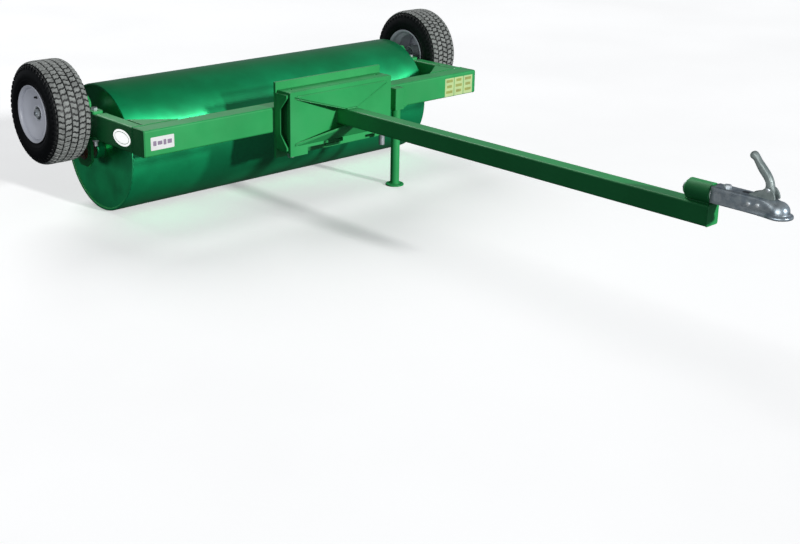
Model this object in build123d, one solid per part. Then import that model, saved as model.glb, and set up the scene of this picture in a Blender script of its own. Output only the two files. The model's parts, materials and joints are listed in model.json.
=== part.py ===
"""Towed drum roller: ballast drum in a U-shaped frame, two transport wheels,
pinned drawbar with ball coupling, and a clamped parking leg.

Millimetres.  +X is the machine's left-to-right axis, the hitch points to -Y,
+Z is up and z = 0 is the ground.  Every shape is drawn with the drum axis at
y = 0 and is moved back by `axle_y` when it is written, so that the origin
lies in the middle of the machine's footprint.
"""
from build123d import *
import os

# ---- drum -------------------------------------------------------------
drum_r = 254.0
drum_half = 772.5
drum_wall = 8.0
disc_t = 10.0
disc_recess = 6.0
axle_r = 21.0
axle_bore_r = 15.0
axle_half = 850.0
plug_orbit = 180.0

# ---- frame ------------------------------------------------------------
frame_z = 376.0
rail_h = 100.0
rail_t = 4.0
rail_corner = 7.0
beam_front = -477.0
beam_depth = 80.0
frame_half = 858.0
arm_w = 50.0
arm_end = -140.0
arm_x = frame_half - arm_w / 2
cap_t = 4.0
corner_leg_x = 150.0
corner_leg_y = 115.0
corner_t = 6.0

# ---- hangers that carry the drum and the wheels -----------------------
hanger_t = 12.0
hanger_front = -55.0
hanger_back = 62.0
hanger_low = 192.0
hanger_high = 476.0
housing_r = 35.0
bush_r = 26.0
housing_in = 800.0
housing_out = 846.0
hanger_bolt_y = -87.0
hanger_bolt_r = 8.0
lug_t = 10.0

# ---- wheels -----------------------------------------------------------
wheel_x = 967.0
wheel_y = 11.0
wheel_z = 428.0
tyre_r = 198.0
tyre_half = 80.5
rim_flange_r = 111.0
rim_half = 78.0
bead_r = 101.0
wheel_axle_r = 12.5
hub_r = 29.0
hub_bore_r = 23.5
hub_out = 50.0
hub_in = -45.0
bearing_w = 15.0

# ---- frame bracket (fixed to the beam) --------------------------------
bracket_half = 271.0
bracket_h = 300.0
bracket_plate_t = 12.0
bracket_flange_t = 12.0
bracket_front = -556.0
side_plate_t = 8.0
side_strip = 28.0
side_slope = 48.0
pin_x = 239.0
pin_y = -541.0
pin_r = 10.0
pin_hole_r = 10.3
pin_tube_r = 14.0
pin_top = 484.5
left_head_h = 20.0
right_head_h = 52.0
flange_hole_r = 6.5
flange_hole_x = 221.0
flange_hole_y = -519.0
recess_y = -516.0

# ---- drawbar with its mounting plate ----------------------------------
mount_half = 262.0
mount_h = 240.0
mount_face = -568.0
mount_t = 8.0
flange_t = 10.0
flange_back = -492.0
ear_w = 86.0
tab_left = -85.0
tab_right = 123.0
ear_drop = 13.0
notch_h = 14.0
slot_left = -95.0
slot_right = 5.0
slot_low = 9.0
slot_high = 25.0
brace_half = 240.0
upper_brace_rise = 97.0
lower_brace_rise = 86.0
brace_reach = 52.0
brace_t = 7.0
bar_w = 58.0
bar_h = 66.0
bar_wall = 4.0
bar_end = -2233.0

# ---- ball coupling ----------------------------------------------------
socket_r = 32.0
socket_bore_r = 24.0
socket_back = -2143.0
socket_front = -2230.0
socket_z = frame_z + bar_h / 2 + socket_r + 0.5
body_half = 26.0
body_back = -2234.0
body_low = 423.0
body_high = 470.0
sheet = 4.0
ball_y = -2438.0
ball_z = 438.0
ball_r = 25.3
dome_r = 30.0
rim_low = 420.0
rim_high = 430.0
nose_y = -2478.0
jaw_pin_y = -2385.0
jaw_pin_z = 448.0
handle_y = -2406.0
handle_z = 495.0

# ---- parking leg ------------------------------------------------------
leg_x = 356.0
leg_r = 19.0
leg_wall = 3.0
sleeve_r = 24.0
leg_y = beam_front - sleeve_r
sleeve_half = 46.0
foot_r = 39.0
foot_t = 6.0
leg_top = 421.0

# The origin is midway between the coupling's nose and the drum's back.
axle_y = (-nose_y - drum_r) / 2


# ---- small helpers ----------------------------------------------------
def save(name, *solids):
    """Write one node.  Several solids in one node stay separate."""
    moved = [Pos(0, axle_y, 0) * s for s in solids]
    shape = moved[0] if len(moved) == 1 else Compound(children=moved)
    export_step(shape, f"parts/{name}.step")


def block(x0, x1, y0, y1, z0, z1):
    """A box given by its faces."""
    box = Box(abs(x1 - x0), abs(y1 - y0), abs(z1 - z0))
    return Pos((x0 + x1) / 2, (y0 + y1) / 2, (z0 + z1) / 2) * box


def rod_x(r, x0, x1, y, z):
    """A cylinder along X."""
    return Pos((x0 + x1) / 2, y, z) * Rot(0, 90, 0) * Cylinder(r, abs(x1 - x0))


def rod_y(r, y0, y1, x, z):
    """A cylinder along Y."""
    return Pos(x, (y0 + y1) / 2, z) * Rot(90, 0, 0) * Cylinder(r, abs(y1 - y0))


def rod_z(r, z0, z1, x, y):
    """A cylinder along Z."""
    return Pos(x, y, (z0 + z1) / 2) * Cylinder(r, abs(z1 - z0))


def side_plate(x0, x1, outline):
    """A flat plate in the YZ plane between x0 and x1; outline holds (y, z) points."""
    face = make_face(Polyline(*[(0, y, z) for y, z in outline], close=True))
    return Pos(min(x0, x1), 0, 0) * extrude(face, abs(x1 - x0), dir=(1, 0, 0))


def top_plate(z0, z1, outline):
    """A flat plate in the XY plane between z0 and z1; outline holds (x, y) points."""
    face = make_face(Polyline(*[(x, y, 0) for x, y in outline], close=True))
    return Pos(0, 0, z0) * extrude(face, z1 - z0, dir=(0, 0, 1))


def box_tube(length, a, b, wall, corner):
    """A rectangular tube along Z, centred on the origin, a by b outside."""
    outer = RectangleRounded(a, b, corner)
    inner = RectangleRounded(a - 2 * wall, b - 2 * wall, max(corner - wall, 1.0))
    return Pos(0, 0, -length / 2) * extrude(outer - inner, length)


def hex_prism(flats, height):
    """A hexagonal prism standing on z = 0."""
    return extrude(RegularPolygon(flats / 2, 6, major_radius=False), height)


def revolve_x(outline, side, x, y, z):
    """A ring turned about the X axis; outline holds (outboard, radius) points."""
    points = [(side * w, 0, r) for w, r in outline]
    face = make_face(Polyline(*points, close=True))
    return Pos(x, y, z) * revolve(face, Axis.X, 360)


# ---- drum -------------------------------------------------------------
def drum():
    shell = rod_x(drum_r, -drum_half, drum_half, 0, drum_r)
    shell -= rod_x(drum_r - drum_wall, -drum_half - 1, drum_half + 1, 0, drum_r)
    shell = chamfer(shell.edges().filter_by(GeomType.CIRCLE), 1.5)
    save("drum_shell", shell)

    outer = drum_half - disc_recess
    inner = outer - disc_t
    plug_z = drum_r - plug_orbit
    for name, side in (("left", -1), ("right", 1)):
        disc = rod_x(drum_r - drum_wall - 0.3, side * inner, side * outer, 0, drum_r)
        disc -= rod_x(axle_r + 0.2, side * (inner - 1), side * (outer + 1), 0, drum_r)
        if side > 0:
            disc -= rod_x(16.0, inner - 1, outer + 1, 0, plug_z)
        save(f"{name}_end_disc", disc)

    axle = rod_x(axle_r, -axle_half, axle_half, 0, drum_r)
    axle -= rod_x(axle_bore_r, -axle_half - 1, axle_half + 1, 0, drum_r)
    save("drum_axle", chamfer(axle.edges().filter_by(GeomType.CIRCLE), 1.5))

    bosses = []
    for side in (-1, 1):
        boss = rod_x(40.0, side * outer, side * (housing_in - 0.6), 0, drum_r)
        boss = chamfer(boss.edges().filter_by(GeomType.CIRCLE), 3.0)
        boss -= rod_x(axle_r + 0.2, side * (outer - 1), side * housing_in, 0, drum_r)
        bosses.append(boss)
    save("drum_hub_bosses", *bosses)

    plug = rod_x(15.8, inner + 1, outer, 0, plug_z)
    plug += rod_x(24.0, outer, outer + 4.0, 0, plug_z)
    plug += Pos(outer + 4.0, 0, plug_z) * Rot(0, 90, 0) * hex_prism(27.0, 8.0)
    save("filler_plug", plug)


# ---- frame ------------------------------------------------------------
def frame_rails():
    beam_y = beam_front + beam_depth / 2
    beam = Rot(0, 90, 0) * box_tube(2 * (frame_half - cap_t), rail_h, beam_depth, rail_t, rail_corner)
    save("crossbeam", Pos(0, beam_y, frame_z) * beam)

    caps = []
    for side in (-1, 1):
        cap = Rot(0, 90, 0) * extrude(RectangleRounded(rail_h, beam_depth, rail_corner), cap_t)
        x = side * frame_half - (cap_t if side > 0 else 0)
        caps.append(Pos(x, beam_y, frame_z) * cap)
    save("beam_end_caps", *caps)

    arm_front = beam_front + beam_depth
    arm_len = arm_end - arm_front
    for name, side in (("left", -1), ("right", 1)):
        arm = Rot(90, 0, 0) * box_tube(arm_len, arm_w, rail_h, rail_t, rail_corner)
        arm = Pos(side * arm_x, (arm_front + arm_end) / 2, frame_z) * arm
        save(f"{name}_arm", arm)

    top = frame_z + rail_h / 2
    gussets = []
    for side in (-1, 1):
        x = side * (frame_half - arm_w)
        y = arm_front
        outline = [(x, y), (x - side * corner_leg_x, y), (x, y + corner_leg_y)]
        gussets.append(top_plate(top - corner_t, top, outline))
    save("corner_gussets", *gussets)


def hangers():
    tongues = []
    lugs = []
    bolts = []
    nuts = []
    for name, side in (("left", -1), ("right", 1)):
        x = side * arm_x
        x0 = x - hanger_t / 2
        x1 = x + hanger_t / 2
        plate = side_plate(x0, x1, [(hanger_front, hanger_low + 30), (hanger_front + 30, hanger_low),
                                    (hanger_back - 30, hanger_low), (hanger_back, hanger_low + 30),
                                    (hanger_back, hanger_high - 30), (hanger_back - 30, hanger_high),
                                    (hanger_front + 20, hanger_high), (hanger_front, hanger_high - 20)])
        plate -= rod_x(housing_r + 0.1, x0 - 1, x1 + 1, 0, drum_r)
        plate -= rod_x(wheel_axle_r + 0.1, x0 - 1, x1 + 1, wheel_y, wheel_z)
        save(f"{name}_hanger_plate", plate)

        tongue = Rot(90, 0, 0) * box_tube(145.0, arm_w - 2 * rail_t - 2, rail_h - 2 * rail_t - 2, 6.0, 4.0)
        tongue = Pos(x, (-202.0 + hanger_front - 2) / 2, frame_z) * tongue
        tongue -= rod_z(hanger_bolt_r + 0.5, 300, 450, x, hanger_bolt_y)
        tongues.append(tongue)

        half = rail_h / 2 - rail_t - 1
        for up in (-1, 1):
            z0 = frame_z + up * half
            z1 = z0 + up * lug_t
            lug = block(x - 23, x + 23, -118.0, hanger_front, z0, z1)
            lug -= rod_z(hanger_bolt_r + 0.5, 300, 450, x, hanger_bolt_y)
            lugs.append(fillet(lug.edges().filter_by(Axis.Z).group_by(Axis.Y)[0], 10.0))

        top = frame_z + half + lug_t
        low = frame_z - half - lug_t
        bolt = rod_z(hanger_bolt_r, low - 32, top, x, hanger_bolt_y)
        bolt += Pos(x, hanger_bolt_y, top) * hex_prism(24.0, 10.0)
        bolts.append(bolt)
        nut = Pos(x, hanger_bolt_y, low - 13) * hex_prism(24.0, 13.0)
        nuts.append(nut - rod_z(hanger_bolt_r + 0.1, 250, 330, x, hanger_bolt_y))
    save("hanger_tongues", *tongues)
    save("hanger_lugs", *lugs)
    save("hanger_bolts", *bolts)

    for side in (-1, 1):
        x = side * (arm_x - hanger_t / 2)
        nut = Pos(x, wheel_y, wheel_z) * Rot(0, -90 * side, 0) * hex_prism(30.0, 16.0)
        nuts.append(nut - rod_x(10.1, x - 20, x + 20, wheel_y, wheel_z))
    save("hex_nuts", *nuts)


def drum_bearings():
    for name, side in (("left", -1), ("right", 1)):
        housing = rod_x(housing_r, side * housing_in, side * housing_out, 0, drum_r)
        housing = chamfer(housing.edges().filter_by(GeomType.CIRCLE), 2.0)
        housing -= rod_x(bush_r, side * 790, side * 860, 0, drum_r)
        save(f"{name}_bearing_housing", housing)
        bush = rod_x(bush_r - 0.05, side * housing_in, side * housing_out, 0, drum_r)
        bush -= rod_x(axle_r + 0.05, side * 790, side * 860, 0, drum_r)
        save(f"{name}_bearing_bush", bush)


# ---- wheels -----------------------------------------------------------
def wheels():
    rim_outline = [(rim_half, 108.0), (rim_half - 3, rim_flange_r), (rim_half - 7, 109.0),
                   (rim_half - 9, bead_r + 1), (rim_half - 24, bead_r), (32, 86), (-32, 86),
                   (24 - rim_half, bead_r), (9 - rim_half, bead_r + 1), (7 - rim_half, 109.0),
                   (3 - rim_half, rim_flange_r), (-rim_half, 108.0), (6 - rim_half, bead_r - 3),
                   (24 - rim_half, bead_r - 4), (-34, 82), (34, 82),
                   (rim_half - 24, bead_r - 4), (rim_half - 6, bead_r - 3)]
    disc_outline = [(60, bead_r - 3), (64, bead_r - 3), (58, 82), (hub_out, 50), (hub_out, hub_r + 0.1),
                    (hub_out - 4, hub_r + 0.1), (hub_out - 4, 51), (54, 84)]
    tread = [(-44, tyre_r), (44, tyre_r), (62, tyre_r - 5), (72, tyre_r - 16), (79, tyre_r - 36),
             (tyre_half, 146), (78, 126), (71.5, 113.5), (67.5, 109), (67, bead_r + 1.2),
             (57, bead_r + 0.4), (56, 106), (63, 118), (70, 132), (72, 148), (70, 164),
             (64, 180), (52, 187), (40, 189)]
    inner = [(-w, r) for w, r in reversed(tread[2:])]
    tyre_outline = tread + inner
    for name, side in (("left", -1), ("right", 1)):
        x = side * wheel_x
        rim = revolve_x(rim_outline, side, x, wheel_y, wheel_z)
        rim += revolve_x(disc_outline, side, x, wheel_y, wheel_z)
        valve_hole = rod_x(7.0, x + side * 40, x + side * 60, wheel_y, wheel_z + 62)
        save(f"{name}_rim", rim - valve_hole)
        save(f"{name}_tyre", revolve_x(tyre_outline, side, x, wheel_y, wheel_z))

        hub = rod_x(hub_r, x + side * hub_in, x + side * hub_out, wheel_y, wheel_z)
        hub -= rod_x(hub_bore_r, x - 80, x + 80, wheel_y, wheel_z)
        save(f"{name}_hub", hub)

        bearings = []
        for w in (hub_in + 2, hub_out - 2 - bearing_w):
            ring = rod_x(hub_bore_r - 0.05, x + side * w, x + side * (w + bearing_w), wheel_y, wheel_z)
            ring -= rod_x(wheel_axle_r + 0.05, x - 80, x + 80, wheel_y, wheel_z)
            bearings.append(ring)
        save(f"{name}_wheel_bearings", *bearings)

        valve = rod_x(6.9, x + side * (hub_out - 7), x + side * (hub_out + 3), wheel_y, wheel_z + 62)
        valve += rod_x(4.0, x + side * (hub_out + 3), x + side * (hub_out + 12), wheel_y, wheel_z + 62)
        save(f"{name}_valve", valve)


def wheel_axles():
    plate_out = arm_x + hanger_t / 2
    end = wheel_x + hub_out + 14
    nuts = []
    for name, side in (("left", -1), ("right", 1)):
        shaft = rod_x(10.0, side * 800, side * plate_out, wheel_y, wheel_z)
        shaft += rod_x(wheel_axle_r, side * (plate_out - hanger_t), side * (end - 16), wheel_y, wheel_z)
        shaft += rod_x(20.0, side * plate_out, side * (wheel_x + hub_in - 1), wheel_y, wheel_z)
        shaft += rod_x(8.0, side * (end - 16), side * end, wheel_y, wheel_z)
        save(f"{name}_wheel_axle", shaft)
        nut_x = wheel_x + hub_out - 1
        nut = Pos(side * nut_x, wheel_y, wheel_z) * Rot(0, 90 * side, 0) * hex_prism(30.0, 10.0)
        nuts.append(nut - rod_x(8.1, side * (nut_x - 5), side * (nut_x + 20), wheel_y, wheel_z))
    save("wheel_end_nuts", *nuts)


# ---- frame bracket ----------------------------------------------------
def frame_bracket():
    """Back plate, two flanges nested inside the drawbar's, and C-shaped sides."""
    face = beam_front - bracket_plate_t
    half = bracket_h / 2
    save("bracket_back_plate",
         block(-bracket_half, bracket_half, face, beam_front, frame_z - half, frame_z + half))

    outer = mount_h / 2 - flange_t - 0.5
    inner = outer - bracket_flange_t
    width = bracket_half - side_plate_t
    for name, up in (("bracket_top_flange", 1), ("bracket_bottom_flange", -1)):
        flange = block(-width, width, bracket_front, face, frame_z + up * inner, frame_z + up * outer)
        for side in (-1, 1):
            flange -= rod_z(pin_hole_r, 200, 560, side * pin_x, pin_y)
            if up > 0:
                flange -= rod_z(flange_hole_r, 200, 560, side * flange_hole_x, flange_hole_y)
        if up < 0:
            for x0, x1 in ((ear_w - mount_half, slot_right), (tab_right, mount_half - ear_w)):
                flange -= block(x0, x1, bracket_front - 1, recess_y, frame_z - outer - 1, frame_z - inner + 1)
        save(name, flange)

    strip = face - side_strip
    upper = [(face, frame_z + outer), (bracket_front, frame_z + outer), (bracket_front, frame_z + inner),
             (strip, frame_z + inner - side_slope)]
    lower = [(y, 2 * frame_z - z) for y, z in reversed(upper)]
    plates = [side_plate(side * width, side * bracket_half, upper + lower) for side in (-1, 1)]
    save("bracket_side_plates", *plates)

    tubes = []
    for side in (-1, 1):
        x = side * pin_x
        tube = rod_z(pin_tube_r, frame_z - inner, frame_z + inner, x, pin_y)
        tube -= rod_z(pin_hole_r, 200, 560, x, pin_y)
        web = block(x - 5, x + 5, pin_y + pin_tube_r - 0.4, face, frame_z - 80, frame_z + 80)
        web -= rod_z(pin_tube_r, 200, 560, x, pin_y)
        tubes += [tube, web]
    save("pin_tubes", *tubes)


def drawbar_pins():
    low = frame_z - mount_h / 2
    for name, side, head_r, head_h in (("left", -1, 14.0, left_head_h), ("right", 1, 12.5, right_head_h)):
        x = side * pin_x
        pin = rod_z(pin_r, low, pin_top, x, pin_y)
        pin = chamfer(pin.edges().filter_by(GeomType.CIRCLE).sort_by(Axis.Z)[-1], 2.0)
        head = rod_z(head_r, low - head_h, low - 0.4, x, pin_y)
        head = chamfer(head.edges().filter_by(GeomType.CIRCLE), 1.5)
        pin = pin + head + rod_z(pin_r, low - 1, low + 1, x, pin_y)
        save(f"{name}_drawbar_pin", pin)


# ---- drawbar ----------------------------------------------------------
def drawbar_mount():
    low = frame_z - mount_h / 2
    high = frame_z + mount_h / 2
    back = mount_face + mount_t
    plate = block(-mount_half, mount_half, mount_face, back, low, high)
    plate += block(-mount_half, ear_w - mount_half, mount_face, back, low - ear_drop, low)
    for x0, x1, z0, z1 in ((ear_w - mount_half, tab_left, -1, notch_h),
                           (tab_right, mount_half - ear_w, -1, notch_h),
                           (slot_left, tab_left, 0, slot_high),
                           (tab_left, slot_right, slot_low, slot_high)):
        plate -= block(x0, x1, mount_face - 1, back + 1, low + z0, low + z1)
    plate = fillet(plate.edges().filter_by(Axis.Y), 2.0)
    save("mount_plate", plate)

    top = block(-mount_half, mount_half, back, flange_back, high - flange_t, high)
    ears = []
    for side in (-1, 1):
        x = side * pin_x
        top -= rod_z(flange_hole_r, high - 20, high + 1, side * flange_hole_x, flange_hole_y)
        ear = block(side * (mount_half - ear_w), side * mount_half, back, flange_back, low, low + flange_t)
        ears.append(ear - rod_z(pin_hole_r, low - 1, low + 20, x, pin_y))
    save("mount_top_flange", top)
    save("mount_bottom_ears", *ears)

    for name, up, rise in (("upper_brace", 1, upper_brace_rise), ("lower_brace", -1, lower_brace_rise)):
        root = frame_z + up * rise
        foot = frame_z + up * (bar_h / 2 + 0.3)
        tip_y = mount_face - brace_reach
        corners = [(-brace_half, mount_face, root), (brace_half, mount_face, root),
                   (bar_w / 2, tip_y, foot), (-bar_w / 2, tip_y, foot)]
        face = make_face(Polyline(*corners, close=True)).face()
        normal = face.normal_at(face.center())
        if normal.Z * up < 0:
            normal = -normal
        brace = extrude(face, brace_t, dir=normal)
        room = block(-300, 300, mount_face - 200, mount_face, 100, 700)
        save(name, brace & room)


def drawbar():
    length = mount_face - bar_end - 3.0
    tube = Rot(90, 0, 0) * box_tube(length, bar_w, bar_h, bar_wall, 6.0)
    save("drawbar_tube", Pos(0, mount_face - length / 2, frame_z) * tube)
    cap = Rot(90, 0, 0) * extrude(RectangleRounded(bar_w, bar_h, 6.0), 3.0)
    save("drawbar_end_cap", Pos(0, bar_end + 3.0, frame_z) * cap)


# ---- coupling ---------------------------------------------------------
def coupling_socket():
    socket = rod_y(socket_r, socket_front, socket_back, 0, socket_z)
    socket = chamfer(socket.edges().filter_by(GeomType.CIRCLE).sort_by(Axis.Y)[-1], 7.0)
    socket = chamfer(socket.edges().filter_by(GeomType.CIRCLE).sort_by(Axis.Y)[0], 2.0)
    save("coupling_socket", socket - rod_y(socket_bore_r, -2300, -2100, 0, socket_z))

    shank = rod_y(socket_bore_r - 0.05, body_back + 2.0, socket_back - 0.6, 0, socket_z)
    shank += rod_y(18.0, -2330.0, body_back + 3, 0, socket_z + 4)
    shank -= rod_z(6.2, 400, 480, 0, -2272.0)
    save("coupling_shank", shank)
    plate = rod_y(21.0, socket_back + 0.4, socket_back + 5, 0, socket_z)
    plate += rod_y(12.0, socket_back - 0.6, socket_back + 1, 0, socket_z)
    plate += Pos(0, socket_back + 5, socket_z) * Rot(-90, 0, 0) * hex_prism(19.0, 8.0)
    save("shank_retainer", plate)


def coupling_outer(grow):
    """The coupling's pressed shape; grow = 0 is the outside, -sheet the inside."""
    half = body_half + grow
    top = body_high + grow
    outline = [(body_back, body_low), (body_back, top), (-2414.0, top), (-2436.0, top - 6),
               (ball_y, body_low)]
    shape = side_plate(-half, half, outline)
    dome = Pos(0, ball_y, ball_z) * Sphere(dome_r + grow)
    skirt = rod_z(dome_r + grow, body_low, ball_z, 0, ball_y)
    return shape + (dome - block(-60, 60, -2600, -2300, 300, body_low)) + skirt


def coupling_body():
    shell = coupling_outer(0.0)
    shell += rod_z(ball_y - nose_y, rim_low, rim_high, 0, ball_y)
    inside = coupling_outer(-sheet)
    mouth = rod_z(ball_r, body_low - 10, ball_z, 0, ball_y)
    ball = Pos(0, ball_y, ball_z) * Sphere(ball_r)
    trough = side_plate(sheet - body_half, body_half - sheet,
                        [(body_back - 6, body_low - 10), (body_back - 6, body_low + 5),
                         (ball_y, body_low + 5), (ball_y, body_low - 10)])
    shell = shell - inside - mouth - ball - trough
    shell -= block(-9.0, 9.0, handle_y - 14, handle_y + 84, body_high - 12, body_high + 12)
    cheek = [(-24, -27), (-19, -7), (-8, 7), (7, 7), (18, -4), (54, -20), (56, -27)]
    for side in (-1, 1):
        ear = side_plate(side * 10.6, side * 16.0, [(handle_y + y, handle_z + z) for y, z in cheek])
        shell += ear - rod_x(5.1, -30, 30, handle_y, handle_z)
    shell -= rod_x(5.1, -40, 40, jaw_pin_y, jaw_pin_z)
    shell -= rod_x(5.1, -40, 40, -2357.0, 446.0)
    shell -= rod_z(6.2, 460, 480, 0, -2272.0)
    save("coupling_body", shell)


def coupling_inside():
    """Jaw under the ball, its spring, the hand lever and their pins."""
    jaw = block(-15.0, 15.0, -2416.0, -2376.0, 427.5, 456.0)
    jaw -= Pos(0, ball_y, ball_z) * Sphere(ball_r + 2.5)
    jaw -= block(-8.5, 8.5, -2420.0, -2370.0, 445.0, 460.0)
    jaw -= rod_x(5.05, -30, 30, jaw_pin_y, jaw_pin_z)
    save("coupling_jaw", jaw)

    spring_path = Helix(6.0, 24.0, 6.0)
    wire = sweep(Plane(origin=spring_path @ 0, z_dir=spring_path % 0) * Circle(1.2), path=spring_path)
    save("jaw_spring", Pos(0, -2350.0, 433.5) * Rot(90, 0, 0) * wire)

    pins = [rod_x(5.0, -body_half - 3, body_half + 3, jaw_pin_y, jaw_pin_z),
            rod_x(5.0, -body_half - 3, body_half + 3, -2357.0, 446.0),
            rod_x(5.0, -18, 18, handle_y, handle_z)]
    bolt = rod_z(6.0, 448, body_high, 0, -2272.0)
    bolt += Pos(0, -2272.0, body_high) * hex_prism(19.0, 8.0)
    save("coupling_pins", *pins, bolt)


def coupling_handle():
    """A cast lever leaning back from its pivot, with a knob at the tip."""
    foot = [(14, 2), (14, -19), (-4, -19), (-11, -4)]
    front = [(-8, 9), (-3, 21), (6, 36), (18, 52), (38, 69), (56, 92)]
    knob = [(63, 97), (69, 92), (63, 83), (51, 74)]
    back = [(46, 53), (35, 44), (21, 34), (14, 24), (11, 12)]
    lever = side_plate(-10.0, 10.0, [(handle_y + y, handle_z + z) for y, z in foot + front + knob + back])
    lever = fillet(lever.edges().filter_by(Axis.X), 1.5)
    lever -= rod_x(5.05, -20, 20, handle_y, handle_z)
    save("coupling_handle", lever)


# ---- parking leg ------------------------------------------------------
def parking_leg():
    low = frame_z - sleeve_half
    high = frame_z + sleeve_half
    screw_z = frame_z - 33.0
    sleeve = block(leg_x - sleeve_r, leg_x + sleeve_r, leg_y - sleeve_r, leg_y + sleeve_r, low, high)
    sleeve = fillet(sleeve.edges().filter_by(Axis.Z), 4.0)
    boss = rod_x(12.0, leg_x + sleeve_r - 4, leg_x + sleeve_r + 6, leg_y, screw_z)
    sleeve += boss
    sleeve -= rod_z(leg_r + 0.06, low - 1, high + 1, leg_x, leg_y)
    sleeve -= rod_x(6.05, leg_x, leg_x + 60, leg_y, screw_z)
    save("leg_sleeve", sleeve)

    tube = rod_z(leg_r, foot_t, leg_top, leg_x, leg_y)
    tube -= rod_z(leg_r - leg_wall, foot_t - 1, leg_top - leg_wall, leg_x, leg_y)
    save("leg_tube", tube)
    foot = rod_z(foot_r, 0, foot_t, leg_x, leg_y)
    save("leg_foot", chamfer(foot.edges().filter_by(GeomType.CIRCLE).sort_by(Axis.Z)[-1], 1.5))

    x = leg_x + leg_r + 0.4
    screw = rod_x(6.0, x, leg_x + 40, leg_y, screw_z)
    screw += rod_x(8.0, leg_x + sleeve_r + 6.4, leg_x + 42, leg_y, screw_z)
    wing = make_face(Polyline((leg_x + 34, 0, screw_z + 19), (leg_x + 72, 0, screw_z),
                              (leg_x + 34, 0, screw_z - 19), close=True))
    wing = Pos(0, leg_y - 3, 0) * extrude(wing, 6.0, dir=(0, 1, 0))
    save("leg_clamp_screw", screw + wing)


os.makedirs("parts", exist_ok=True)
drum()
frame_rails()
hangers()
drum_bearings()
wheels()
wheel_axles()
frame_bracket()
drawbar_pins()
drawbar_mount()
drawbar()
coupling_socket()
coupling_body()
coupling_inside()
coupling_handle()
parking_leg()
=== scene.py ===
"""Looks of the towed drum roller: materials, treaded tyres, pressed rims, coupling,
welds, blank labels, floor, light and camera.  Metres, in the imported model's frame.
"""
import json
import math
import random

import bmesh
import bpy
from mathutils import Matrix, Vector

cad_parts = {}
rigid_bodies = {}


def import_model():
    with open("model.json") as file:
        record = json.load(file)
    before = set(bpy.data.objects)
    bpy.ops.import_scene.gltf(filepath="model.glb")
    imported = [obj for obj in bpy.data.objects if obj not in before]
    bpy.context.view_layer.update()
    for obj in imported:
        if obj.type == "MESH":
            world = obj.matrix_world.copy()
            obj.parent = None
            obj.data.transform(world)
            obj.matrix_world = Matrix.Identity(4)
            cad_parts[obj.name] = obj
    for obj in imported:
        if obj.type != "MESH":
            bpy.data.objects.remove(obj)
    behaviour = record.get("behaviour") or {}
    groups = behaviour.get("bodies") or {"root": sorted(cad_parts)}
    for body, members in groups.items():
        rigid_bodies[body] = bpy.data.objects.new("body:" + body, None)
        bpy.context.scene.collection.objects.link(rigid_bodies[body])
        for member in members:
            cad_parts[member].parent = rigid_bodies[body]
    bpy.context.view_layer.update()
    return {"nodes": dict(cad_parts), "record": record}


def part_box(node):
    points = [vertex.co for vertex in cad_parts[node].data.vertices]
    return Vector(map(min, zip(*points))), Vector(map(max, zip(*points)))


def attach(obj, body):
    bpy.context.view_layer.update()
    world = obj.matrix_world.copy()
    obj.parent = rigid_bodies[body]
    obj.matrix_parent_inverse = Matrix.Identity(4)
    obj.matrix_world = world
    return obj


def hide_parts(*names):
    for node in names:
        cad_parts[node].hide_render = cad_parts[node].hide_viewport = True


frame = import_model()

nodes = frame["nodes"]
rng = random.Random(7)

# ---- light levels -----------------------------------------------------
floor_glow = 0.42
sun_toward = (0.13, -0.95, 0.286)
sky_left = 0.14
sky_front = 0.42
sky_zenith = 0.10
sky_ground = 0.16

# ---- sizes of added geometry ------------------------------------------
plate_edge = 0.0008
shell_wall = 0.008
tread_rows = 54
block_height = 7.5
block_chamfer = 1.6
bead_step = 0.0022
rim_radius = 0.040
dome_radius = 0.030
body_half = 0.026
body_height = 0.047
ball_height = 0.015
film_thick = 0.0005
print_thick = 0.0002
rivet_radius = 0.0068
floor_size = 40.0


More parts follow.
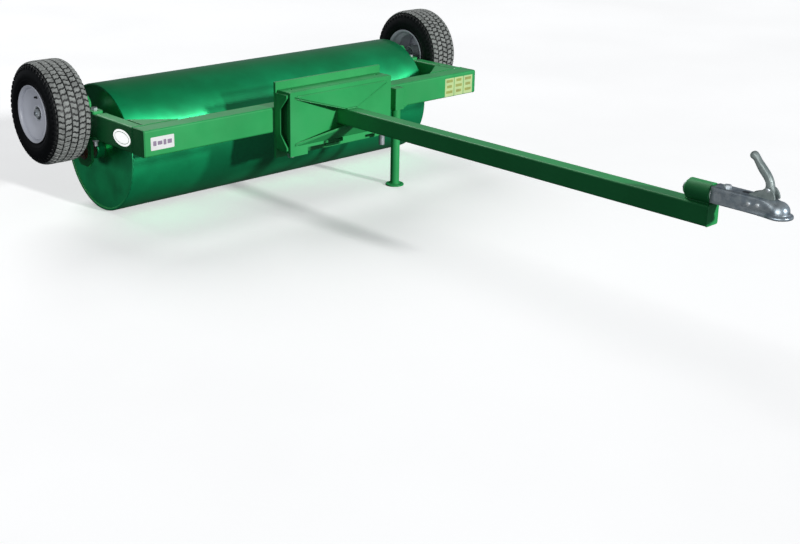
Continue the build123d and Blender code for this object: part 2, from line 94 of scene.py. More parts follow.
# ---- node helper ------------------------------------------------------
class Nodes:
    """One material's node tree, with short calls for the nodes it uses."""

    def __init__(self, name):
        self.material = bpy.data.materials.new(name)
        self.material.use_nodes = True
        self.tree = self.material.node_tree
        self.shader = self.tree.nodes["Principled BSDF"]
        self.coords = self.add("ShaderNodeTexCoord").outputs["Object"]

    def link(self, value, socket):
        if isinstance(value, bpy.types.NodeSocket):
            self.tree.links.new(value, socket)
        else:
            socket.default_value = value

    def add(self, kind, inputs=None, **settings):
        node = self.tree.nodes.new(kind)
        for key, value in settings.items():
            setattr(node, key, value)
        for key, value in (inputs or {}).items():
            self.link(value, node.inputs[key])
        return node

    def scaled(self, x, y, z):
        """Object coordinates stretched along each axis."""
        node = self.add("ShaderNodeMapping", {"Vector": self.coords})
        node.inputs["Scale"].default_value = (x, y, z)
        return node.outputs["Vector"]

    def noise(self, scale, detail=3.0, rough=0.5, vector=None, distort=0.0):
        values = {"Vector": vector or self.coords, "Scale": scale, "Detail": detail,
                  "Roughness": rough, "Distortion": distort}
        return self.add("ShaderNodeTexNoise", values).outputs["Fac"]

    def ramp(self, fac, low, high, a=0.0, b=1.0):
        """Maps fac from low..high to a..b, smoothly."""
        values = {"Value": fac, "From Min": low, "From Max": high, "To Min": a, "To Max": b}
        node = self.add("ShaderNodeMapRange", values, interpolation_type="SMOOTHSTEP")
        return node.outputs["Result"]

    def math(self, operation, a, b=0.0):
        node = self.add("ShaderNodeMath", operation=operation)
        self.link(a, node.inputs[0])
        self.link(b, node.inputs[1])
        return node.outputs[0]

    def mix(self, fac, a, b):
        """Colour a where fac is 0 and b where it is 1."""
        node = self.add("ShaderNodeMix", data_type="RGBA")
        self.link(fac, node.inputs[0])
        self.link(a if isinstance(a, bpy.types.NodeSocket) else (*a, 1.0), node.inputs[6])
        self.link(b if isinstance(b, bpy.types.NodeSocket) else (*b, 1.0), node.inputs[7])
        return node.outputs[2]

    def soft_edge(self, radius):
        return self.add("ShaderNodeBevel", {"Radius": radius}, samples=4).outputs["Normal"]

    def edge_mask(self, rounded):
        """1 along an object's sharp edges, 0 on its flats."""
        flat = self.add("ShaderNodeNewGeometry").outputs["Normal"]
        dot = self.add("ShaderNodeVectorMath", operation="DOT_PRODUCT")
        self.link(rounded, dot.inputs[0])
        self.link(flat, dot.inputs[1])
        return self.ramp(self.math("SUBTRACT", 1.0, dot.outputs["Value"]), 0.03, 0.2)

    def bump(self, height, strength, distance, normal=None):
        values = {"Height": height, "Strength": strength, "Distance": distance}
        if normal is not None:
            values["Normal"] = normal
        return self.add("ShaderNodeBump", values).outputs["Normal"]

    def finish(self, colour, rough, normal=None, **constants):
        """Wires the shader, sets its constants and gives the material."""
        self.link(colour, self.shader.inputs["Base Color"])
        self.link(rough, self.shader.inputs["Roughness"])
        if normal is not None:
            self.link(normal, self.shader.inputs["Normal"])
        for key, value in constants.items():
            self.shader.inputs[key.replace("_", " ")].default_value = value
        return self.material


# ---- materials --------------------------------------------------------
def enamel(name, deep, fresh, worn, rough, edge=0.0012, peel=0.08, metal=0.0, coat=0.35, gloss=0.08, wave=0.0,
           graze=(1.0, 1.0, 1.0, 1.0)):
    """Sprayed paint: cloudy tone, orange peel, a few scuffs, dust and thinner paint on edges."""
    n = Nodes(name)
    cloud = n.noise(3.1, 4.0, 0.6)
    tone = n.mix(n.ramp(cloud, 0.35, 0.65), deep, fresh)
    drips = n.noise(26.0, 3.0, 0.6, n.scaled(1.0, 1.0, 0.18))
    tone = n.mix(n.ramp(drips, 0.56, 0.72, 0.0, 0.22), tone, deep)
    rounded = n.soft_edge(edge)
    chips = n.ramp(n.noise(140.0, 4.0, 0.7), 0.42, 0.62)
    wear = n.math("MULTIPLY", n.edge_mask(rounded), chips)
    tone = n.mix(n.math("MULTIPLY", wear, 0.55), tone, worn)
    scuff_lines = n.noise(9.0, 5.0, 0.75, n.scaled(0.6, 0.6, 9.0), 1.2)
    scuffs = n.ramp(scuff_lines, 0.66, 0.76)
    tone = n.mix(n.math("MULTIPLY", scuffs, 0.18), tone, worn)
    surface = n.math("ADD", n.ramp(n.noise(7.0, 5.0), 0.3, 0.7, rough * 0.85, rough * 1.2),
                     n.math("MULTIPLY", scuffs, 0.12))
    normal = n.bump(n.noise(520.0, 2.0), peel, 0.0006, rounded)
    if wave:
        normal = n.bump(n.noise(5.5, 2.0, 0.4, n.scaled(0.5, 1.0, 1.0)), wave, 0.004, normal)
    return n.finish(tone, surface, normal, Metallic=metal, Coat_Weight=coat, Coat_Roughness=gloss,
                    Specular_Tint=graze)


def plated(name, tint, shade, rough, grain=90.0, metal=1.0, pits=0.0):
    """Bare or plated metal with cloudy tone, fine scratches and brighter edges."""
    n = Nodes(name)
    cloud = n.noise(38.0, 4.0, 0.65)
    tone = n.mix(n.ramp(cloud, 0.32, 0.68), shade, tint)
    rounded = n.soft_edge(plate_edge)
    tone = n.mix(n.math("MULTIPLY", n.edge_mask(rounded), 0.35), tone, [min(1.0, c * 1.3) for c in tint])
    lines = n.noise(grain, 4.0, 0.7, n.scaled(1.0, 0.12, 1.0))
    surface = n.ramp(lines, 0.3, 0.7, rough * 0.75, rough * 1.35)
    normal = n.bump(lines, 0.05, 0.0004, rounded)
    if pits:
        normal = n.bump(n.noise(700.0, 3.0, 0.7), pits, 0.0006, normal)
    return n.finish(tone, surface, normal, Metallic=metal)


def rusty(name):
    """Machined steel with a thin brown film of rust."""
    n = Nodes(name)
    steel = n.mix(n.ramp(n.noise(60.0, 3.0), 0.3, 0.7), (0.20, 0.17, 0.15), (0.34, 0.31, 0.29))
    blotch = n.ramp(n.noise(34.0, 6.0, 0.7), 0.40, 0.60)
    tone = n.mix(blotch, steel, (0.16, 0.062, 0.027))
    tone = n.mix(n.ramp(n.noise(210.0, 4.0, 0.7), 0.55, 0.7), tone, (0.30, 0.13, 0.05))
    surface = n.ramp(blotch, 0.0, 1.0, 0.38, 0.85)
    normal = n.bump(n.noise(420.0, 4.0, 0.7), 0.25, 0.0005, n.soft_edge(0.0008))
    return n.finish(tone, surface, normal, Metallic=0.35)


def tyre_rubber(name, radius, dusty):
    """Black rubber with mould lines; the tread's tops are grey with dust."""
    n = Nodes(name)
    parts = n.add("ShaderNodeSeparateXYZ", {"Vector": n.coords})
    square = n.math("ADD", n.math("POWER", n.math("ABSOLUTE", parts.outputs["Y"]), 2.0),
                    n.math("POWER", n.math("ABSOLUTE", parts.outputs["Z"]), 2.0))
    reach = n.math("SQRT", square)
    wide = n.math("DIVIDE", n.math("ABSOLUTE", parts.outputs["X"]), 0.0765)
    flattened = n.math("ADD", reach, n.math("MULTIPLY", n.math("POWER", wide, 4.0), 0.0125))
    top = n.ramp(flattened, radius - 0.0052, radius - 0.0012)
    patches = n.ramp(n.noise(55.0, 5.0, 0.7), 0.3, 0.72, 0.45, 1.0)
    dust = n.math("MULTIPLY", n.math("MULTIPLY", top, patches), dusty)
    black = n.mix(n.ramp(n.noise(120.0, 4.0), 0.3, 0.7), (0.009, 0.010, 0.011), (0.021, 0.022, 0.024))
    film = n.math("MULTIPLY", n.ramp(n.noise(14.0, 5.0, 0.65), 0.35, 0.7, 0.4, 1.0),
                  n.ramp(reach, radius - 0.024, radius - 0.012))
    black = n.mix(film, black, (0.040, 0.042, 0.041))
    tone = n.mix(dust, black, (0.40, 0.42, 0.40))
    surface = n.ramp(dust, 0.0, 1.0, 0.48, 0.9)
    rings = n.add("ShaderNodeTexWave", {"Vector": n.coords, "Scale": 42.0, "Distortion": 0.0},
                  wave_type="RINGS", rings_direction="X").outputs["Fac"]
    flank = n.math("SUBTRACT", 1.0, n.ramp(reach, radius - 0.026, radius - 0.018))
    normal = n.bump(n.math("MULTIPLY", rings, flank), 0.18, 0.0005)
    normal = n.bump(n.noise(380.0, 4.0, 0.65), 0.18, 0.0004, normal)
    return n.finish(tone, surface, normal, Specular_IOR_Level=0.35)


def plain_rubber(name):
    """Black rubber of the small parts."""
    n = Nodes(name)
    tone = n.mix(n.ramp(n.noise(150.0, 3.0), 0.3, 0.7), (0.010, 0.010, 0.011), (0.030, 0.030, 0.032))
    surface = n.ramp(n.noise(60.0, 3.0), 0.3, 0.7, 0.5, 0.75)
    return n.finish(tone, surface, n.bump(n.noise(600.0, 3.0), 0.15, 0.0003, n.soft_edge(0.0006)))


def label_film(name, tone, second, glow=0.0):
    """Matt printed film, a little dusty and yellowed; glow is painted light, an emission that keeps the film
    bright in shade.
    """
    n = Nodes(name)
    colour = n.mix(n.ramp(n.noise(24.0, 4.0, 0.6), 0.35, 0.75), tone, second)
    surface = n.ramp(n.noise(45.0, 3.0), 0.3, 0.7, 0.32, 0.5)
    return n.finish(colour, surface, n.bump(n.noise(260.0, 2.0), 0.04, 0.0003), Coat_Weight=0.2,
                    Emission_Strength=glow, Emission_Color=(1.0, 1.0, 1.0, 1.0))


def floor_paint(name):
    """Pale studio floor; its glow lifts it towards white."""
    n = Nodes(name)
    colour = n.mix(n.ramp(n.noise(0.5, 4.0, 0.55), 0.3, 0.7), (0.80, 0.80, 0.80), (0.86, 0.86, 0.86))
    surface = n.ramp(n.noise(1.4, 3.0), 0.3, 0.7, 0.62, 0.8)
    return n.finish(colour, surface, n.bump(n.noise(60.0, 3.0), 0.03, 0.001), Specular_IOR_Level=0.2,
                    Emission_Strength=floor_glow, Emission_Color=(1.0, 1.0, 1.0, 1.0))


frame_green = enamel("frame_green", (0.022, 0.350, 0.092), (0.028, 0.405, 0.110), (0.20, 0.50, 0.28), 0.46,
                     coat=0.04)
weld_green = enamel("weld_green", (0.018, 0.290, 0.078), (0.026, 0.360, 0.100), (0.20, 0.50, 0.28), 0.38,
                    edge=0.0003, coat=0.08)
drum_green = enamel("drum_green", (0.003, 0.390, 0.130), (0.006, 0.480, 0.170), (0.05, 0.50, 0.22), 0.35,
                    peel=0.015, metal=0.82, coat=0.85, gloss=0.30, wave=0.05, graze=(0.02, 0.50, 0.25, 1.0))
zinc = plated("zinc", (0.70, 0.74, 0.76), (0.50, 0.55, 0.58), 0.36, metal=0.6)
pressed_zinc = plated("pressed_zinc", (0.47, 0.53, 0.56), (0.27, 0.33, 0.38), 0.32, grain=60.0, metal=0.7)
cast_grey = plated("cast_grey", (0.28, 0.33, 0.32), (0.19, 0.235, 0.23), 0.45, metal=0.5, pits=0.25)
spring_steel = plated("spring_steel", (0.40, 0.41, 0.43), (0.24, 0.25, 0.27), 0.32)
bronze = plated("bronze", (0.60, 0.42, 0.22), (0.42, 0.27, 0.13), 0.36)
bare_steel = rusty("bare_steel")
rim_grey = enamel("rim_grey", (0.42, 0.44, 0.50), (0.52, 0.54, 0.60), (0.30, 0.28, 0.27), 0.36,
                  peel=0.05, coat=0.2)
hub_grey = enamel("hub_grey", (0.26, 0.29, 0.31), (0.36, 0.39, 0.41), (0.18, 0.16, 0.15), 0.4,
                  peel=0.06, coat=0.15)
black_rubber = plain_rubber("black_rubber")
# Very dark metal, used only for the painted shade card on the coupling's top.
dark_metal = plated("dark_metal", (0.050, 0.060, 0.075), (0.020, 0.024, 0.030), 0.45, metal=0.6)
white_film = label_film("white_film", (0.86, 0.87, 0.86), (0.78, 0.79, 0.76))
# Its glow is painted light: the film emits light so the oval label stays white on the arm's shaded outer face.
reflective_film = label_film("reflective_film", (0.86, 0.88, 0.86), (0.80, 0.82, 0.79), 0.55)
yellow_film = label_film("yellow_film", (0.60, 0.76, 0.34), (0.52, 0.70, 0.33))
dark_film = label_film("dark_film", (0.03, 0.16, 0.07), (0.05, 0.20, 0.09))
grey_film = label_film("grey_film", (0.30, 0.24, 0.34), (0.42, 0.33, 0.42))
amber_film = label_film("amber_film", (0.40, 0.46, 0.12), (0.36, 0.36, 0.13))

LOOKS = {
    "drum_green": drum_green, "frame_green": frame_green, "bare_steel": bare_steel, "zinc": zinc,
    "spring_steel": spring_steel, "cast_grey": cast_grey, "rim_grey": rim_grey, "tyre": black_rubber,
    "black_rubber": black_rubber, "bronze": bronze,
}
slot_of = {part["node"]: part["material_slot"] for part in frame["record"]["subparts"]}
for name, node in nodes.items():
    look = LOOKS[slot_of[name]]
    if name in ("left_hub", "right_hub"):
        look = hub_grey
    if name.endswith("wheel_bearings"):
        look = spring_steel
    node.data.materials.clear()
    node.data.materials.append(look)


# ---- mesh helpers -----------------------------------------------------
def piece(name, verts, faces, look, body, slot=None, origin=(0.0, 0.0, 0.0), sharp=38.0):
    """A mesh object riding on a body.  verts are in the row frame; origin is its own zero."""
    zero = Vector(origin)
    mesh = bpy.data.meshes.new(name)
    mesh.from_pydata([tuple(Vector(v) - zero) for v in verts], [], faces)
    work = bmesh.new()
    work.from_mesh(mesh)
    bmesh.ops.remove_doubles(work, verts=work.verts, dist=0.00002)
    bmesh.ops.recalc_face_normals(work, faces=work.faces)
    work.to_mesh(mesh)
    work.free()
    mesh.shade_smooth()
    mesh.set_sharp_from_angle(angle=math.radians(sharp))
    mesh.materials.append(look)
    obj = bpy.data.objects.new(name, mesh)
    obj.location = zero
    bpy.context.scene.collection.objects.link(obj)
    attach(obj, body)
    return obj


def rounded(points, rounds=2):
    """Corner cutting, which turns a closed outline's corners into small curves."""
    for _ in range(rounds):
        made = []
        for start, end in zip(points, points[1:] + points[:1]):
            a, b = Vector(start), Vector(end)
            cut = min(0.25, 0.003 / max((b - a).length, 1e-6))
            made += [tuple(a.lerp(b, cut)), tuple(b.lerp(a, cut))]
        points = made
    return points


def ring_faces(rings, width, loop=False):
    """Faces between successive rings of width points; loop joins the last ring to the first."""
    faces = []
    for i in range(rings if loop else rings - 1):
        j = (i + 1) % rings
        for k in range(width):
            m = (k + 1) % width
            faces.append((i * width + k, j * width + k, j * width + m, i * width + m))
    return faces


def end_faces(rings, width):
    """The two caps of an open row of rings."""
    return [tuple(range(width)), tuple((rings - 1) * width + k for k in range(width))]


def prism_faces(n):
    """Faces of a prism whose two ends have n points each."""
    faces = [tuple(range(n)), tuple(range(n, 2 * n))]
    faces += [(k, (k + 1) % n, n + (k + 1) % n, n + k) for k in range(n)]
    return faces


def lathe(profile, centre, side, segments=144):
    """Verts and faces of an outline of (outboard, radius) points turned about X."""
    cx, cy, cz = centre
    verts = []
    for i in range(segments):
        a = 2 * math.pi * i / segments
        for w, r in profile:
            verts.append((cx + side * w, cy + r * math.cos(a), cz + r * math.sin(a)))
    return verts, ring_faces(segments, len(profile), True)


def merge(parts):
    """Several (verts, faces) pairs as one."""
    verts, faces = [], []
    for v, f in parts:
        base = len(verts)
        verts += v
        faces += [tuple(base + i for i in face) for face in f]
    return verts, faces


def dense(path, closed):
    """Points every bead_step along a polyline."""
    points = [Vector(p) for p in path]
    if closed:
        points.append(points[0])
    made = []
    for a, b in zip(points, points[1:]):
        count = max(1, round((b - a).length / bead_step))
        made += [a.lerp(b, i / count) for i in range(count)]
    if not closed:
        made.append(points[-1])
    return made


def bead(path, radius, closed=False):
    """A rippled weld bead along a path: verts and faces."""
    points = dense(path, closed)
    count = len(points)
    ring = 7
    verts = []
    for i, p in enumerate(points):
        before = points[i - 1] if (closed or i) else p
        after = points[(i + 1) % count] if (closed or i < count - 1) else p
        along = (after - before).normalized()
        side = along.cross(Vector((0.31, 0.42, 0.85))).normalized()
        up = side.cross(along)
        ripple = 1.0 + 0.16 * math.sin(i * 1.9) + rng.uniform(-0.06, 0.06)
        if not closed:
            ripple *= min(1.0, 0.45 + 0.3 * min(i, count - 1 - i))
        for k in range(ring):
            a = 2 * math.pi * k / ring
            verts.append(p + (side * math.cos(a) + up * math.sin(a)) * radius * ripple)
    return verts, ring_faces(count, ring, closed) + ([] if closed else end_faces(count, ring))


def welds(name, body, beads, look=weld_green, slot="frame_green"):
    """One object holding several beads, each (path, radius, closed)."""
    return piece(name, *merge([bead(p, r, c) for p, r, c in beads]), look, body, slot, sharp=60.0)


def run(start, end, radius):
    """A straight bead for welds()."""
    return [start, end], radius, False


def circle_x(x, y, z, r, count=96):
    """Points on a circle about the X axis direction."""
    turns = [2 * math.pi * i / count for i in range(count)]
    return [(x, y + r * math.cos(a), z + r * math.sin(a)) for a in turns]


def circle_z(x, y, z, r):
    """Points on a circle about the Z axis direction."""
    turns = [2 * math.pi * i / 72 for i in range(72)]
    return [(x + r * math.cos(a), y + r * math.sin(a), z) for a in turns]


def frame_loop(lo, hi, axis, at, corner):
    """A rounded rectangle in the plane axis = at, round the box lo..hi."""
    a, b = [i for i in range(3) if i != axis]
    loop = []
    for sa, sb, start in ((1, 1, 0), (-1, 1, 90), (-1, -1, 180), (1, -1, 270)):
        ca = (hi[a] - corner) if sa > 0 else (lo[a] + corner)
        cb = (hi[b] - corner) if sb > 0 else (lo[b] + corner)
        for k in range(5):
            t = math.radians(start + 22.5 * k)
            point = [0.0, 0.0, 0.0]
            point[axis] = at
            point[a] = ca + corner * math.cos(t)
            point[b] = cb + corner * math.sin(t)
            loop.append(tuple(point))
    return loop


def card(outline, thick, out):
    """A thin flat card from an outline of points, raised along out."""
    up = Vector(out) * thick
    verts = [Vector(p) for p in outline] + [Vector(p) + up for p in outline]
    return verts, prism_faces(len(outline))


def rect_card(origin, u, v, out, u0, u1, v0, v1, corner, thick):
    """A round-cornered card on the plane through origin spanned by u and v."""
    o, eu, ev = Vector(origin), Vector(u), Vector(v)
    outline = []
    for su, sv, start in ((1, 1, 0), (-1, 1, 90), (-1, -1, 180), (1, -1, 270)):
        cu = u1 - corner if su > 0 else u0 + corner
        cv = v1 - corner if sv > 0 else v0 + corner
        for k in range(6):
            t = math.radians(start + 18 * k)
            outline.append(o + eu * (cu + corner * math.cos(t)) + ev * (cv + corner * math.sin(t)))
    return card(outline, thick, out)


def oval_card(origin, u, v, out, ru, rv, thick):
    """An oval card of half sizes ru and rv."""
    o, eu, ev = Vector(origin), Vector(u), Vector(v)
    turns = [2 * math.pi * k / 64 for k in range(64)]
    return card([o + eu * ru * math.cos(a) + ev * rv * math.sin(a) for a in turns], thick, out)


# ---- drum -------------------------------------------------------------
def drum_piece():
    """The rolled shell with eased ends, and its weld seams.  Gives the drum's centre."""
    lo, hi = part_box("drum_shell")
    centre = (0.0, (lo.y + hi.y) / 2, (lo.z + hi.z) / 2)
    r = (hi.z - lo.z) / 2
    half = hi.x
    outline = [(-half, r - 0.0035), (-half + 0.0012, r - 0.0010), (-half + 0.004, r)]
    outline += [(-half + 0.004 + (2 * half - 0.008) * i / 24, r) for i in range(1, 24)]
    outline += [(half - 0.004, r), (half - 0.0012, r - 0.0010), (half, r - 0.0035),
                (half, r - shell_wall), (-half, r - shell_wall)]
    shell = piece("drum_rolled_shell", *lathe(outline, centre, 1, 256), drum_green, "drum", "drum_green")
    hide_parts("drum_shell")
    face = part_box("right_end_disc")[1].x
    seam_r = r - shell_wall - 0.0012
    rings = []
    for side in (-1, 1):
        rings.append((circle_x(side * (face + 0.0008), centre[1], centre[2], seam_r, 220), 0.0032, True))
        rings.append((circle_x(side * (face + 0.0006), centre[1], centre[2], 0.0405), 0.0028, True))
    welds("drum_welds", "drum", rings, weld_green, "drum_green")
    return centre


drum_centre = drum_piece()


# ---- wheels -----------------------------------------------------------
TREAD = ((0.0, 0.0), (44.0, 0.0), (55.0, -2.0), (62.0, -5.0), (68.0, -10.0), (72.0, -16.0), (76.0, -25.0),
         (78.2, -36.0))


def crown(distance):
    """A point of the tread's outer line and its outward normal, by distance from the middle."""
    side = 1 if distance >= 0 else -1
    left = abs(distance)
    for (w0, h0), (w1, h1) in zip(TREAD, TREAD[1:]):
        length = math.hypot(w1 - w0, h1 - h0)
        if left <= length or (w1, h1) == TREAD[-1]:
            break
        left -= length
    t = left / length
    w, h = w0 + (w1 - w0) * t, h0 + (h1 - h0) * t
    return side * w, h, (side * -(h1 - h0) / length, (w1 - w0) / length)


def block_faces(sides):
    """Faces of a tread block: two bands of sides and a top."""
    faces = []
    for level in (0, sides):
        for i in range(sides):
            j = (i + 1) % sides
            faces.append((level + i, level + j, level + sides + j, level + sides + i))
    faces.append(tuple(2 * sides + i for i in range(sides)))
    return faces


def tread_blocks(centre, radius):
    """Staggered chevron blocks over the crown and the shoulders."""
    verts, faces = [], []
    pitch = 2 * math.pi / tread_rows
    columns = ((-82.0, 15.0), (-57.5, 24.5), (-28.8, 24.5), (0.0, 24.5), (28.8, 24.5), (57.5, 24.5),
               (82.0, 15.0))
    wavy = ((-1, -0.9), (-0.3, -1.2), (0.3, -0.8), (1, -1.1), (1, 0.9), (0.3, 1.2), (-0.3, 0.8), (-1, 1.1))
    sides = len(wavy)
    for c, (mid, width) in enumerate(columns):
        lean = 0.26 if c % 2 else -0.26
        shift = 0.5 if c % 2 else 0.0
        shoulder = abs(mid) > 70
        long = 0.62 if shoulder else 0.70
        for k in range(tread_rows):
            at = (k + shift + rng.uniform(-0.02, 0.02)) * pitch
            half_w = width / 2 * rng.uniform(0.96, 1.0)
            outline = [(u, v * long / 2 + lean * u * 0.5) for u, v in wavy]
            base = len(verts)
            for grow, level in ((1.0, -block_height), (1.0, -block_chamfer), (0.84, 0.0)):
                for u, v in outline:
                    w, h, normal = crown(mid + u * half_w * grow)
                    r = radius + (h + normal[1] * level) / 1000
                    x = (w + normal[0] * level) / 1000
                    a = at + v * grow * pitch * (0.95 if shoulder else 1.0)
                    verts.append((centre[0] + x, centre[1] + r * math.cos(a), centre[2] + r * math.sin(a)))
            faces += [tuple(base + i for i in face) for face in block_faces(sides)]
    return verts, faces


def tyre_piece(prefix, side, centre, radius):
    """Hollow carcass with its tread.  The outline is in millimetres from the middle and the crown."""
    carcass = [(-44, -7), (44, -7), (58, -10), (67, -16), (73, -27), (77.5, -38), (80.2, -50), (80.2, -60),
               (78.6, -66), (79.2, -68), (78.4, -70), (75.5, -78), (72.0, -83.5), (72.6, -85), (70.2, -87.5),
               (67.5, -89.2), (66.6, -95.5), (57, -96.8), (56, -92), (63, -80), (70, -66), (72, -50),
               (70, -34), (64, -20), (52, -13), (40, -12)]
    outline = [(w / 1000, radius + h / 1000) for w, h in carcass]
    outline += [(-w, r) for w, r in reversed(outline[2:])]
    rubber = tyre_rubber(prefix + "_rubber", radius, 0.85)
    shapes = [lathe(rounded(outline, 1), centre, side, 160), tread_blocks(centre, radius)]
    tyre = piece(prefix + "_turf_tyre", *merge(shapes), rubber, prefix + "_wheel", "tyre", centre, sharp=32.0)
    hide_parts(prefix + "_tyre")


def rim_piece(prefix, side, centre):
    """Drop-centre rim and its dish, outlined in millimetres."""
    half, flange = 78.0, 111.0
    line = [(half - 0.5, 106.5), (half, 109.0), (half - 1.5, flange), (half - 4.5, 110.6),
            (half - 7.5, 106.0), (half - 9, 102), (half - 24, 101), (40, 90), (32, 86),
            (-32, 86), (-40, 90), (24 - half, 101), (9 - half, 102), (7.5 - half, 106.0),
            (4.5 - half, 110.6), (1.5 - half, flange), (-half, 109), (0.5 - half, 106.5),
            (7 - half, 99), (24 - half, 97.4), (-34, 82.5), (34, 82.5), (54, 95), (60, 97.6),
            (63.5, 97.8), (half - 7, 99)]
    dish = [(59.5, 98.5), (63.8, 98.5), (64.2, 95), (61.5, 88), (56.5, 79), (52.5, 68), (50.6, 56),
            (50.0, 44), (50.0, 29.1), (46.0, 29.1), (46.0, 45), (46.8, 57), (49.0, 70), (53.5, 82), (57.5, 91)]
    rim_profile = rounded([(w / 1000, r / 1000) for w, r in line], 2)
    dish_profile = rounded([(w / 1000, r / 1000) for w, r in dish], 1)
    shapes = [lathe(rim_profile, centre, side, 128), lathe(dish_profile, centre, side, 128)]
    rim = piece(prefix + "_pressed_rim", *merge(shapes), rim_grey, prefix + "_wheel", "rim_grey", centre,
                sharp=30.0)
    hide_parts(prefix + "_rim")


def hub_weld(prefix, side, centre):
    """Weld ring where the dish meets the hub."""
    lo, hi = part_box(prefix + "_hub")
    face = hi.x if side > 0 else lo.x
    ring_r = (hi.z - lo.z) / 2
    seam = circle_x(face + side * 0.0002, centre[1], centre[2], ring_r + 0.0012, 90)
    welds(prefix + "_hub_weld", prefix + "_wheel", [(seam, 0.0026, True)], rim_grey, "rim_grey")


def valve_piece(prefix, side):
    """Rubber valve stem with a thick foot and a cap, outlined in millimetres."""
    lo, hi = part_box(prefix + "_valve")
    foot, tip = (lo.x, hi.x) if side > 0 else (hi.x, lo.x)
    reach = abs(tip - foot) * 1000
    stem = [(0, 0.2), (0, 6.4), (4.0, 6.9), (7.0, 6.9), (8.4, 6.4), (9.2, 4.5), (reach - 6.0, 4.0),
            (reach - 5.6, 3.4), (reach - 5.2, 4.0), (reach - 1.2, 4.0), (reach, 2.9), (reach, 0.2)]
    profile = [(w / 1000, r / 1000) for w, r in stem]
    centre = (foot, (lo.y + hi.y) / 2, (lo.z + hi.z) / 2)
    valve = piece(prefix + "_valve_stem", *lathe(profile, centre, side, 32), black_rubber, prefix + "_wheel",
                  "black_rubber", sharp=28.0)
    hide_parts(prefix + "_valve")


def wheel(side, prefix):
    """Tyre, rim, hub weld and valve of one transport wheel."""
    lo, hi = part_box(prefix + "_tyre")
    centre = tuple((lo + hi) / 2)
    tyre_piece(prefix, side, centre, (hi.z - lo.z) / 2)
    rim_piece(prefix, side, centre)
    hub_weld(prefix, side, centre)
    valve_piece(prefix, side)


wheel(-1, "left")
wheel(1, "right")


# ---- frame welds ------------------------------------------------------
def corner_seams():
    """Seams where the arms meet the beam, and round the beam's end caps."""
    beam_lo, beam_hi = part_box("crossbeam")
    corner = 0.007
    beads = []
    for name in ("left_arm", "right_arm"):
        lo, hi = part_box(name)
        beads.append((frame_loop(lo, hi, 1, lo.y, corner), 0.0030, True))
    for x in (beam_lo.x, beam_hi.x):
        beads.append((frame_loop(beam_lo, beam_hi, 0, x, corner), 0.0013, True))
    welds("frame_corner_welds", "frame", beads)


def gusset_seams():
    """Two beads on each flat corner gusset."""
    gusset_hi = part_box("corner_gussets")[1]
    arm_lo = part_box("right_arm")[0]
    z = gusset_hi.z + 0.0002
    beads = []
    for side in (-1, 1):
        x = side * arm_lo.x
        inner = side * (arm_lo.x - 0.150)
        beads.append(run((x, arm_lo.y + 0.004, z), (x, gusset_hi.y - 0.002, z), 0.0018))
        beads.append(run((x - side * 0.004, arm_lo.y, z), (inner, arm_lo.y, z), 0.0018))
    welds("gusset_welds", "frame", beads)


def bracket_seams():
    """Stitches along the beam, and the seams of the bracket's flanges and side plates."""
    beam_lo, beam_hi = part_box("crossbeam")
    plate_lo, plate_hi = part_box("bracket_back_plate")
    top_lo, top_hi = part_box("bracket_top_flange")
    low_lo, low_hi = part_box("bracket_bottom_flange")
    front = beam_lo.y
    stitch = 0.070
    beads = []
    for z in (beam_lo.z - 0.0012, beam_hi.z + 0.0012):
        for start in (-0.255, -0.135, 0.065, 0.185):
            beads.append(run((start, front + 0.001, z), (start + stitch, front + 0.001, z), 0.0040))
    y = front - 0.0005
    for side in (-1, 1):
        x = side * (plate_hi.x + 0.0008)
        beads.append(run((x, y, beam_lo.z + 0.006), (x, y, beam_hi.z - 0.006), 0.0040))
    seam = plate_lo.y
    x0, x1 = top_lo.x + 0.004, top_hi.x - 0.004
    for z, inside in ((top_hi.z, top_lo.z), (low_lo.z, low_hi.z)):
        beads.append(run((x0, seam, z), (x1, seam, z), 0.0030))
        beads.append(run((x0, seam, inside), (x1, seam, inside), 0.0034))
    for side in (-1, 1):
        edge = side * (plate_hi.x - 0.0004)
        inner = side * top_hi.x
        beads.append(run((edge, seam, low_lo.z), (edge, seam, top_hi.z), 0.0016))
        beads.append(run((inner, seam, low_hi.z + 0.004), (inner, seam, top_lo.z - 0.004), 0.0030))
        for z in (low_lo.z, top_hi.z):
            beads.append(run((inner, seam - 0.003, z), (inner, top_lo.y + 0.003, z), 0.0014))
    welds("bracket_welds", "frame", beads)


def mount_seams():
    """Seams of the drawbar's mounting plate: its top flange, its ears and the two braces."""
    mount_lo, mount_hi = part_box("mount_plate")
    flange_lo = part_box("mount_top_flange")[0]
    bar_lo, bar_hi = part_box("drawbar_tube")
    face, back = mount_lo.y, mount_hi.y
    beads = [run((mount_lo.x + 0.006, back, mount_hi.z), (mount_hi.x - 0.006, back, mount_hi.z), 0.0017),
             run((mount_lo.x + 0.01, back, flange_lo.z), (mount_hi.x - 0.01, back, flange_lo.z), 0.0026)]
    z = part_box("mount_bottom_ears")[1].z
    for side in (-1, 1):
        beads.append(run((side * (mount_hi.x - 0.09), back, z), (side * (mount_hi.x - 0.005), back, z), 0.0026))
    for name, up in (("upper_brace", 1), ("lower_brace", -1)):
        lo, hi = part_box(name)
        root = hi.z if up > 0 else lo.z
        foot = bar_hi.z if up > 0 else bar_lo.z
        tip = lo.y
        z = root - up * 0.001
        beads.append(run((lo.x + 0.012, face, z), (hi.x - 0.012, face, z), 0.0038))
        for side in (-1, 1):
            beads.append(run((side * hi.x, face, root - up * 0.007),
                             (side * bar_hi.x, tip + 0.003, foot + up * 0.001), 0.0020))
        y = tip + 0.0005
        beads.append(run((bar_lo.x + 0.004, y, foot), (bar_hi.x - 0.004, y, foot), 0.0040))
    beads.append((frame_loop(bar_lo, bar_hi, 1, face, 0.006), 0.0036, True))
    return beads


